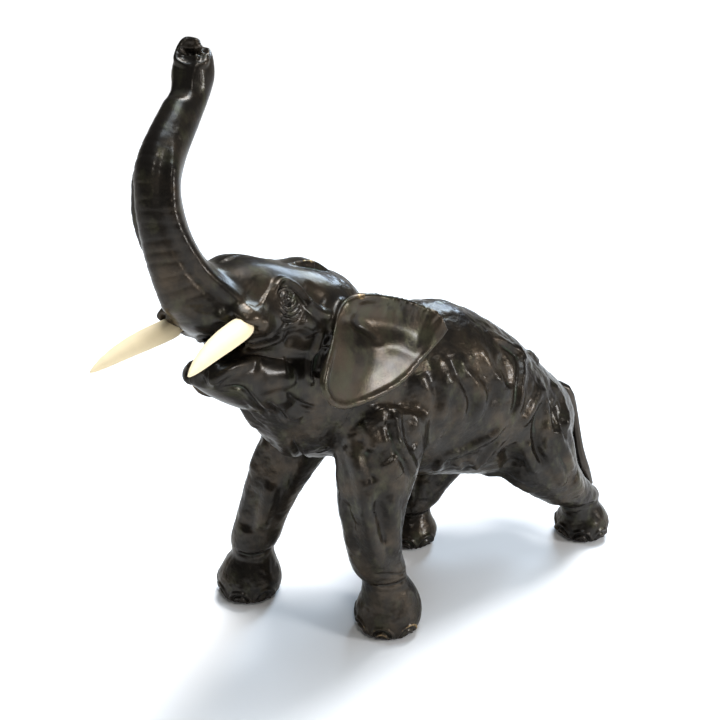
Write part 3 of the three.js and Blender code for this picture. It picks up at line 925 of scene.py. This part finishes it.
def cut_casting(clay, labels, index, name, fields):
    """One casting cut out of the skin, closed at its seams, shaded as the whole."""
    mesh = clay.mesh
    point_of, face_of = loop_corners(mesh)
    mine = labels[face_of] == index
    used, renamed = np.unique(point_of[mine], return_inverse=True)
    totals = np.bincount(face_of[mine], minlength=len(labels))
    totals = totals[totals > 0]
    ends = np.cumsum(totals)
    faces = [renamed[e - n:e].tolist() for e, n in zip(ends, totals)]
    made = bpy.data.meshes.new(name + "_skin")
    made.from_pydata(clay.points[used].tolist(), [], faces)
    add_fields(made, {key: values[used] for key, values in fields.items()})
    work = bmesh.new()
    work.from_mesh(made)
    rim = [e for e in work.edges if e.is_boundary]
    filled = bmesh.ops.holes_fill(work, edges=rim, sides=0)["faces"]
    bmesh.ops.triangulate(work, faces=filled)
    work.to_mesh(made)
    work.free()
    made.shade_smooth()
    made.normals_split_custom_set_from_vertices(clay.normals[used].tolist())
    return new_object(name + "_skin", made)


# ---- shader arithmetic ----
class Value:
    """A socket of a material, so that ordinary arithmetic adds its Math nodes."""

    def __init__(self, finish, socket):
        self.finish = finish
        self.socket = socket

    def math(self, operation, *others):
        settings = {"operation": operation}
        inputs = dict(enumerate((self, *others)))
        return self.finish.node("ShaderNodeMath", settings, inputs).out(0)

    def __add__(self, other):
        return self.math("ADD", other)

    def __sub__(self, other):
        return self.math("SUBTRACT", other)

    def __mul__(self, other):
        return self.math("MULTIPLY", other)

    def __rsub__(self, other):
        return (self * -1) + other

    __radd__ = __add__
    __rmul__ = __mul__

    def above(self, low, high):
        """0 below low, 1 over high, smooth between."""
        inputs = {"Value": self, "From Min": low, "From Max": high}
        settings = {"interpolation_type": "SMOOTHSTEP"}
        return self.finish.node("ShaderNodeMapRange", settings, inputs).out("Result")


class Made:
    """A node that was just added, and its outputs by name."""

    def __init__(self, finish, node):
        self.finish = finish
        self.node = node

    def out(self, key):
        return Value(self.finish, self.node.outputs[key])


class Finish:
    """A material and the one method that adds its nodes."""

    def __init__(self, name):
        self.material = bpy.data.materials.new(name)
        self.material.use_nodes = True
        self.tree = self.material.node_tree
        self.tree.nodes.clear()
        self.place = self.node("ShaderNodeTexCoord").out("Object")

    def node(self, kind, settings=None, inputs=None):
        """Adds a node: its settings first, then the values or links of its sockets."""
        node = self.tree.nodes.new(kind)
        for key, value in (settings or {}).items():
            setattr(node, key, value)
        for key, value in (inputs or {}).items():
            socket = node.inputs[key]
            if isinstance(value, Value):
                self.tree.links.new(value.socket, socket)
            else:
                socket.default_value = value
        return Made(self, node)

    def noise(self, scale, detail=3.0, roughness=0.55, at=None):
        inputs = {
            "Vector": at or self.place,
            "Scale": scale,
            "Detail": detail,
            "Roughness": roughness,
        }
        return self.node("ShaderNodeTexNoise", {}, inputs).out(0)

    def stretched(self, factors):
        settings = {"operation": "MULTIPLY"}
        return self.node("ShaderNodeVectorMath", settings, {0: self.place, 1: factors}).out(0)

    def field(self, name):
        settings = {"attribute_type": "GEOMETRY", "attribute_name": name}
        return self.node("ShaderNodeAttribute", settings).out("Fac")

    def mix(self, factor, first, second):
        """First at factor 0, second at 1; the colours' sockets have numbers, not names."""
        inputs = {0: factor}
        for index, value in ((6, first), (7, second)):
            inputs[index] = value if isinstance(value, Value) else (*value[:3], 1.0)
        return self.node("ShaderNodeMix", {"data_type": "RGBA"}, inputs).out(2)

    def bump(self, height, distance, strength=1.0, under=None):
        inputs = {"Height": height, "Distance": distance, "Strength": strength}
        if under:
            inputs["Normal"] = under
        return self.node("ShaderNodeBump", {}, inputs).out(0)

    def surface(self, inputs):
        shader = self.node("ShaderNodeBsdfPrincipled", {}, inputs)
        self.node("ShaderNodeOutputMaterial", {}, {"Surface": shader.out(0)})
        return self.material


# ---- what a user may change ----
def colour_property(name, description, default):
    """A colour that a user may change."""
    return bpy.props.FloatVectorProperty(
        name=name, description=description, default=default, size=3, subtype="COLOR"
    )


class BronzeSettings(bpy.types.PropertyGroup):
    voxel: bpy.props.FloatProperty(
        name="Modelling grain",
        description="Edge of the smallest facet of the sculpted skin",
        default=0.85 * MM,
        min=0.5 * MM,
        unit="LENGTH",
    )
    dark: colour_property(
        "Dark patina", "Colour of the wax-darkened patina", (0.016, 0.0135, 0.011),
    )
    brown: colour_property(
        "Brown patina", "Warmer brown where the patina is thinner", (0.050, 0.037, 0.025),
    )
    olive: colour_property(
        "Olive patina", "Greenish cast of the hollows", (0.046, 0.044, 0.026),
    )
    verdigris: colour_property(
        "Verdigris", "Green bloom in the deepest creases", (0.055, 0.085, 0.050),
    )
    brass: colour_property(
        "Rubbed metal", "Bare alloy on the edges that hands reach", (0.48, 0.32, 0.15),
    )


class TuskSettings(bpy.types.PropertyGroup):
    cream: colour_property(
        "Tusk cream", "Colour of the left tusk", (0.30, 0.19, 0.075),
    )
    pale: colour_property(
        "Tusk pale", "Colour of the right tusk", (0.25, 0.22, 0.145),
    )
    stain: colour_property(
        "Tusk stain", "Brown stains close to the lips", (0.10, 0.045, 0.015),
    )


class StudioSettings(bpy.types.PropertyGroup):
    azimuth: bpy.props.FloatProperty(
        name="Camera azimuth",
        description="Turn of the camera from straight ahead, towards the figure's left",
        default=math.radians(55),
        subtype="ANGLE",
    )
    elevation: bpy.props.FloatProperty(
        name="Camera elevation",
        description="Height of the camera above the horizon",
        default=math.radians(22),
        subtype="ANGLE",
    )
    distance: bpy.props.FloatProperty(
        name="Camera distance",
        description="From the camera to the point that it looks at",
        default=0.6,
        unit="LENGTH",
    )
    lens: bpy.props.FloatProperty(
        name="Lens",
        description="Focal length of the camera in millimetres",
        default=45.0,
    )
    floor: colour_property(
        "Floor colour", "Pale floor under the figure", (0.90, 0.90, 0.90),
    )


# ---- finishes ----
def bronze_finish(look):
    m = Finish("patinated_bronze")
    hollow = m.field("hollow")
    worn = m.field("worn")
    # warm reads the ear field: painted sheen that makes the ears lighter brown and more olive.
    warm = m.field("painted_ear_sheen")
    cloud = m.noise(38, 4, 0.6)
    tint = m.noise(95, 3, 0.6, at=m.stretched((1.0, 1.3, 0.8)))
    grain = m.noise(1500, 2, 0.6)
    speck = m.noise(620, 3, 0.65)
    skin = m.mix((cloud + warm * 0.12).above(0.42, 0.72), look.dark, look.brown)
    skin = m.mix((tint + warm * 0.08).above(0.50, 0.76) * 0.7, skin, look.olive)
    # The hollows go darker: partly the dark patina that the real bronze keeps there, partly painted
    # shade.
    skin = m.mix(hollow.above(0.25, 0.9) * 0.85, skin, look.dark)
    green = hollow.above(0.75, 1.0) * m.noise(60, 2).above(0.55, 0.7)
    skin = m.mix(green * 0.3, skin, look.verdigris)
    rub = (worn * (speck * 0.8 + 0.6) * m.noise(30, 2).above(0.5, 0.7)).above(0.62, 1.0)
    skin = m.mix(rub * 0.8, skin, look.brass)
    rough = m.noise(55, 4, 0.6) * 0.16 + grain * 0.10 + hollow * 0.16 + 0.20
    fine = m.bump(grain, 0.06 * MM, 0.8)
    pitted = m.bump(speck, 0.20 * MM, 0.6, under=fine)
    pebbled = m.bump(m.noise(300, 3, 0.6) * (1.1 - m.field("quiet")), 0.5 * MM, 0.6, under=pitted)
    return m.surface({
        "Base Color": skin,
        "Roughness": rough - rub * 0.05,
        "Metallic": rub * 0.25 + 0.72,
        "Specular IOR Level": 0.25,
        "Specular Tint": (0.45, 0.42, 0.37, 1.0),
        "Coat Weight": m.noise(70, 2) * 0.3 + 0.04,
        "Coat Roughness": 0.2,
        "Normal": pebbled,
    })


def tusk_finish(name, colour, stain, root, tip):
    """Cream tusk: faint long grain, small brown stains near the root."""
    m = Finish(name)
    run = tip - root
    settings = {"operation": "DOT_PRODUCT"}
    along = m.node("ShaderNodeVectorMath", settings, {0: m.place, 1: tuple(run / run.length_squared)})
    along = along.out("Value") - root.dot(run) / run.length_squared
    streak = m.noise(160, 4, 0.6, at=m.stretched((1.0, 0.22, 1.0)))
    cloud = m.noise(60, 3)
    light = tuple(min(1.0, c * 1.08) for c in colour)
    warm = tuple(c * f for c, f in zip(colour, (0.90, 0.74, 0.50)))
    skin = m.mix(streak.above(0.35, 0.7), colour, light)
    skin = m.mix((1 - along.above(0.0, 0.55)) * cloud.above(0.35, 0.65) * 0.7, skin, warm)
    spots = m.noise(420, 2, 0.5).above(0.62, 0.70) * (1 - along.above(0.12, 0.42))
    skin = m.mix(spots * 0.75, skin, stain)
    line = m.noise(300, 2, at=m.stretched((1.0, 0.1, 1.0))).above(0.63, 0.68)
    skin = m.mix(line * 0.25, skin, stain)
    return m.surface({
        "Base Color": skin,
        "Roughness": streak * 0.18 + 0.36,
        "Specular IOR Level": 0.12,
        "Coat Weight": cloud * 0.06,
        "Coat Roughness": 0.3,
        "Normal": m.bump(streak, 0.12 * MM, 0.4),
    })


def floor_finish(colour):
    m = Finish("studio_floor")
    tone = m.noise(6, 3)
    lower = tuple(c * 0.985 for c in colour)
    return m.surface({
        "Base Color": m.mix(tone, lower, colour),
        "Roughness": tone * 0.1 + 0.75,
        "Specular IOR Level": 0.2,
    })


# ---- operators ----
class BronzeSkin(bpy.types.Operator):
    """Sculpt the bronze skin and cut it into its castings"""

    bl_idname = "elephant.bronze_skin"
    bl_label = "Bronze castings"

    def execute(self, context):
        look = context.scene.elephant_bronze
        clay = Clay(base_skin(look.voxel))
        fields = sculpt(clay)
        labels = casting_of_faces(clay.mesh)
        finish = bronze_finish(look)
        for index, name in enumerate(CASTINGS):
            piece = cut_casting(clay, labels, index, name, fields)
            piece.data.materials.append(finish)
            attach(piece, "root")
            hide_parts(name)
        return {"FINISHED"}


TAIL_LEAN = Vector((-1.2, -2.2, 0)) * MM
TAIL_ROOT = 28 * MM
TAIL_VOXEL = 0.6 * MM
TAIL_ROUNDS = 12


def lean_of_tail(points):
    """The hanging tail lies close against the thigh; its root stays where it is."""
    top = points[:, 2].max()
    hang = smoothstep(0, TAIL_ROOT, top - points[:, 2])
    return hang[:, None] * np.array(TAIL_LEAN)


class Tail(bpy.types.Operator):
    """Make the tail with its hanging tuft"""

    bl_idname = "elephant.tail"
    bl_label = "Tail"

    def execute(self, context):
        clay = Clay(remeshed(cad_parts["tail"].data.copy(), TAIL_VOXEL))
        clay.smooth(TAIL_ROUNDS)
        clay.points += lean_of_tail(clay.points)
        clay.settle()
        fields = surface_fields(clay)
        clay.mesh.shade_smooth()
        add_fields(clay.mesh, fields)
        piece = new_object("tail_rope", clay.mesh)
        piece.data.materials.append(bpy.data.materials["patinated_bronze"])
        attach(piece, "root")
        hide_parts("tail")
        return {"FINISHED"}


TUSK_VOXEL = 0.5 * MM
TUSK_ROUNDS = 14


class Tusks(bpy.types.Operator):
    """Make the two cream tusks"""

    bl_idname = "elephant.tusks"
    bl_label = "Tusks"

    def execute(self, context):
        look = context.scene.elephant_tusks
        for side, colour in (("left", look.cream), ("right", look.pale)):
            node = side + "_tusk"
            clay = Clay(remeshed(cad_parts[node].data.copy(), TUSK_VOXEL))
            clay.smooth_plain(TUSK_ROUNDS)
            clay.mesh.shade_smooth()
            piece = new_object(node + "_cream", clay.mesh)
            root = Vector(clay.points[clay.points[:, 1].argmax()])
            tip = Vector(clay.points[clay.points[:, 1].argmin()])
            finish = tusk_finish(node + "_ivory", tuple(colour), tuple(look.stain), root, tip)
            piece.data.materials.append(finish)
            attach(piece, "root")
            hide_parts(node)
        return {"FINISHED"}


class Studio(bpy.types.Operator):
    """Set up the pale floor, the soft lights and the camera"""

    bl_idname = "elephant.studio"
    bl_label = "Studio"

    def execute(self, context):
        look = context.scene.elephant_studio
        add_floor(tuple(look.floor))
        for name, place, size, watts, colour in LIGHTS:
            add_light(name, Vector(place), size, watts, colour)
        add_overhead()
        add_sky()
        add_camera(look)
        context.scene.view_settings.view_transform = "Standard"
        return {"FINISHED"}


FLOOR_HALF = 400.0
FLOOR_CELLS = 24
LIGHT_AIM = Vector((0, 0, 0.15))
# Name, place, width, watts and colour of each soft light.
LIGHTS = (
    ("window", (-0.9, 1.4, 1.15), 0.6, 26.0, (0.62, 0.80, 1.0)),
    ("panel", (0.05, -0.05, 1.7), 0.7, 14.0, (0.72, 0.86, 1.0)),
    ("lamp", (1.0, -0.5, 1.5), 0.3, 5.0, (1.0, 0.97, 0.92)),
    ("side", (1.6, 1.0, 0.8), 0.35, 20.0, (0.97, 0.98, 1.0)),
)


def add_floor(colour):
    """A pale floor that reaches the horizon."""
    work = bmesh.new()
    bmesh.ops.create_grid(work, x_segments=FLOOR_CELLS, y_segments=FLOOR_CELLS, size=FLOOR_HALF)
    mesh = bpy.data.meshes.new("studio_floor")
    work.to_mesh(mesh)
    work.free()
    floor = new_object("studio_floor", mesh)
    mesh.materials.append(floor_finish(colour))


def new_lamp(name, kind, energy, colour):
    data = bpy.data.lights.new(name, kind)
    data.energy = energy
    data.color = colour
    return new_object(name, data)


def place_facing(thing, place, way):
    """Puts a lamp or a camera there, looking that way."""
    thing.location = place
    thing.rotation_mode = "QUATERNION"
    thing.rotation_quaternion = way.to_track_quat("-Z", "Y")


def add_light(name, place, size, watts, colour):
    """A square soft light that faces the figure."""
    lamp = new_lamp(name, "AREA", watts, colour)
    lamp.data.shape = "SQUARE"
    lamp.data.size = size
    place_facing(lamp, place, LIGHT_AIM - place)


SUN_STRENGTH = 3.7
SUN_SPREAD = math.radians(24)
SUN_TURN = (math.radians(-18), math.radians(-12), 0)
SUN_COLOUR = (0.97, 0.98, 1.0)


def add_overhead():
    """Wide soft light from above, even over the whole floor."""
    lamp = new_lamp("overhead", "SUN", SUN_STRENGTH, SUN_COLOUR)
    lamp.data.angle = SUN_SPREAD
    lamp.rotation_euler = SUN_TURN


# Pale at the horizon, dim overhead.
HORIZON = {"From Min": 0.08, "From Max": 0.22, "To Min": 0.9, "To Max": 0.14}


def add_sky():
    """White sky, strong low down and weak overhead."""
    world = bpy.data.worlds.new("studio")
    world.use_nodes = True
    sky = world.node_tree.nodes["Background"]
    sky.inputs["Color"].default_value = (1.0, 1.0, 1.0, 1.0)
    nodes = world.node_tree.nodes
    way = nodes.new("ShaderNodeTexCoord")
    parts = nodes.new("ShaderNodeSeparateXYZ")
    band = nodes.new("ShaderNodeMapRange")
    for key, value in HORIZON.items():
        band.inputs[key].default_value = value
    links = world.node_tree.links
    links.new(way.outputs["Generated"], parts.inputs[0])
    links.new(parts.outputs["Z"], band.inputs["Value"])
    links.new(band.outputs[0], sky.inputs["Strength"])
    bpy.context.scene.world = world


CAMERA_TARGET = Vector((-44.34, 13.05, 150)) * MM
SENSOR_WIDTH = 36
CLIP_START = 0.05
CLIP_END = 900


def add_camera(look):
    """The camera, turned round its target by azimuth and raised by elevation."""
    turn = look.azimuth
    rise = look.elevation
    back = Vector((
        math.sin(turn) * math.cos(rise),
        -math.cos(turn) * math.cos(rise),
        math.sin(rise),
    ))
    data = bpy.data.cameras.new("camera")
    data.lens = look.lens
    data.sensor_width = SENSOR_WIDTH
    data.clip_start = CLIP_START
    data.clip_end = CLIP_END
    camera = new_object("camera", data)
    place_facing(camera, CAMERA_TARGET + back * look.distance, -back)
    bpy.context.scene.camera = camera


# ---- panel and registration ----
class ElephantPanel(bpy.types.Panel):
    """The elephant's steps, in their order"""

    bl_label = "Bronze elephant"
    bl_idname = "VIEW3D_PT_bronze_elephant"
    bl_space_type = "VIEW_3D"
    bl_region_type = "UI"
    bl_category = "Elephant"

    def draw(self, context):
        for group in GROUPS:
            box = self.layout.box()
            settings = getattr(context.scene, group)
            for key in settings.bl_rna.properties.keys():
                if key not in ("rna_type", "name"):
                    box.prop(settings, key)
        for step in STEPS:
            self.layout.operator(step.bl_idname)


GROUPS = {
    "elephant_bronze": BronzeSettings,
    "elephant_tusks": TuskSettings,
    "elephant_studio": StudioSettings,
}
STEPS = (BronzeSkin, Tail, Tusks, Studio)


def register():
    for kind in (*GROUPS.values(), *STEPS, ElephantPanel):
        bpy.utils.register_class(kind)
    for key, kind in GROUPS.items():
        setattr(bpy.types.Scene, key, bpy.props.PointerProperty(type=kind))


def unregister():
    for key in GROUPS:
        delattr(bpy.types.Scene, key)
    for kind in reversed((*GROUPS.values(), *STEPS, ElephantPanel)):
        bpy.utils.unregister_class(kind)


def main():
    register()
    bpy.ops.elephant.bronze_skin()
    bpy.ops.elephant.tail()
    bpy.ops.elephant.tusks()
    bpy.ops.elephant.studio()


if __name__ == "__main__":
    main()
